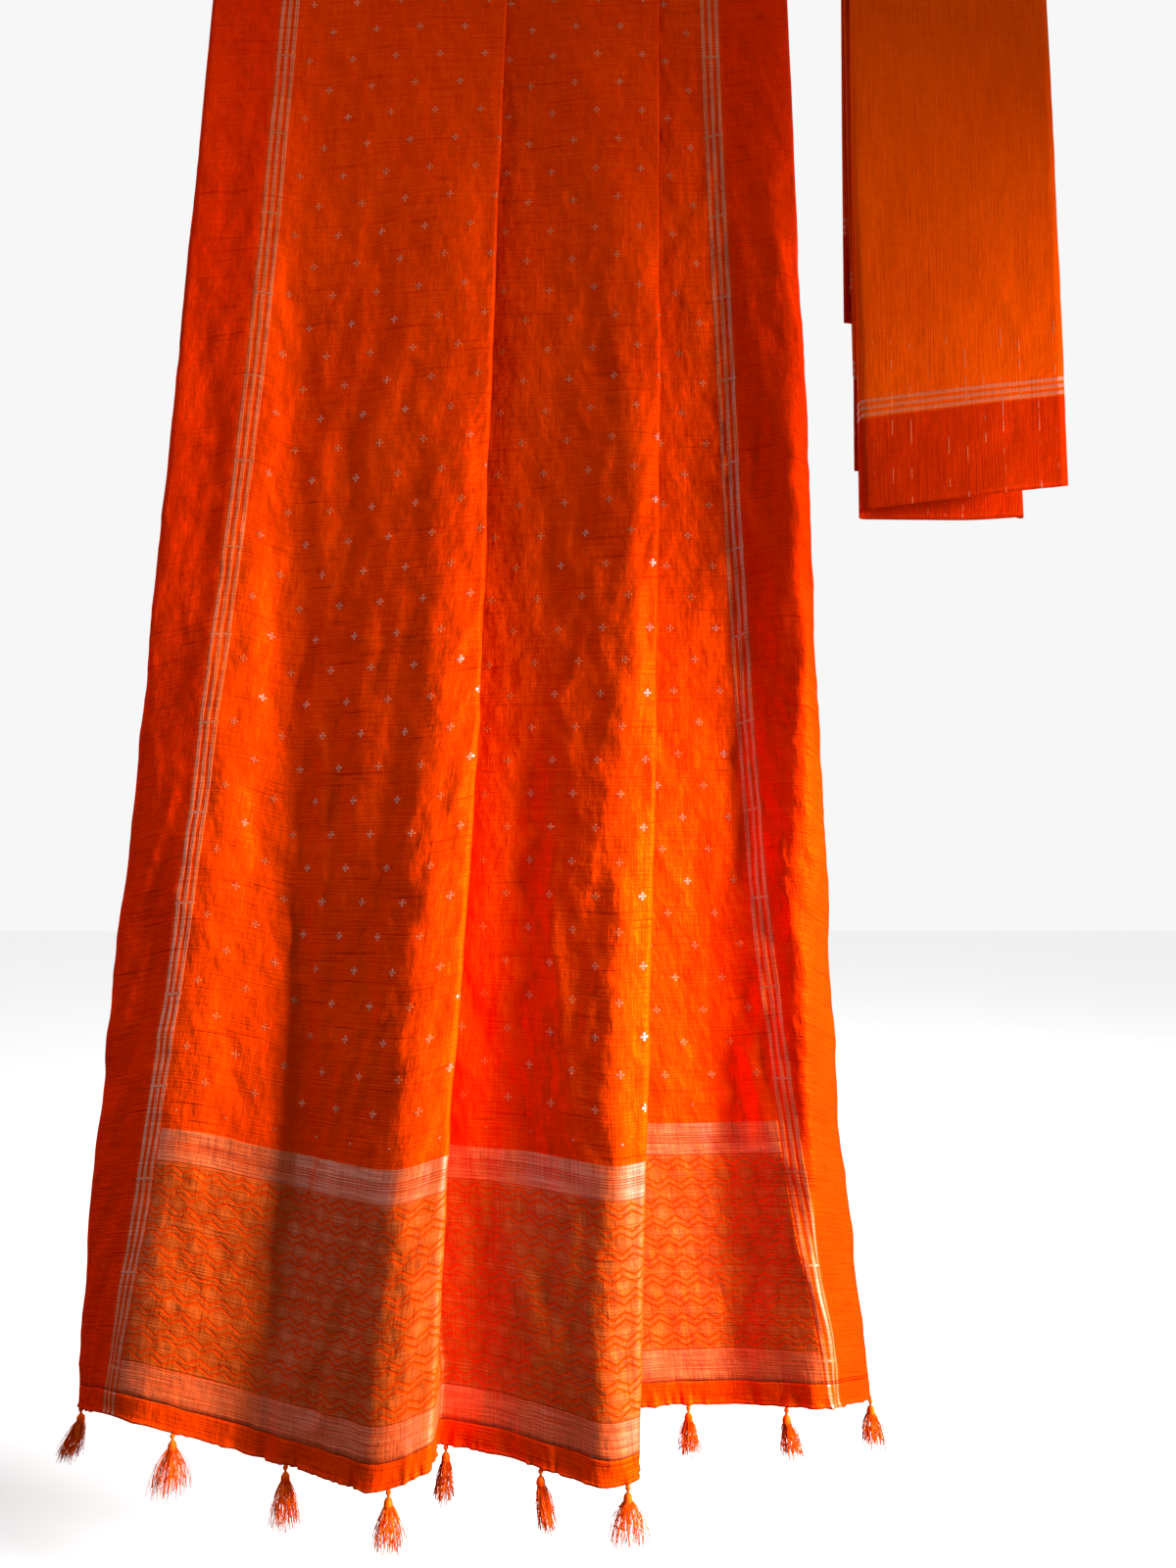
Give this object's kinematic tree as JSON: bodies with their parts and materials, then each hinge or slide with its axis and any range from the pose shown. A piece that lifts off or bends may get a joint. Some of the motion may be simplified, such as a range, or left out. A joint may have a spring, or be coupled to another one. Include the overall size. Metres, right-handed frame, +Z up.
{
  "type": "saree hung over a rod",
  "caption": "Silk saree hung over a plain round rod in knife pleats, its woven end panel and tasselled hem in front, with its folded blouse piece beside it.",
  "frame": {"origin": "the middle of the rod's axis, where the rod is held", "axes": "+Z up, +X along the rod to the right of someone who faces the pallu, +Y from the pallu towards the back"},
  "size_m": [1.2239, 0.2003, 1.7822],
  "materials": {
    "rod_wood": "satin varnish",
    "front_silk": "silk with woven metal thread, soft sheen",
    "back_silk": "silk, soft sheen",
    "inner_silk": "silk, soft sheen",
    "blouse_silk": "silk, soft sheen",
    "tassel_thread": "loose silk thread"
  },
  "bodies": {
    "root": {"rod": "rod_wood", "pallu_fall": "front_silk", "back_fall": "back_silk", "inner_layers": "inner_silk", "blouse_front": "blouse_silk", "blouse_back": "blouse_silk", "tassel_01": "tassel_thread", "tassel_02": "tassel_thread", "tassel_03": "tassel_thread", "tassel_04": "tassel_thread", "tassel_05": "tassel_thread", "tassel_06": "tassel_thread", "tassel_07": "tassel_thread", "tassel_08": "tassel_thread", "tassel_09": "tassel_thread", "tassel_10": "tassel_thread"}
  },
  "joints": []
}
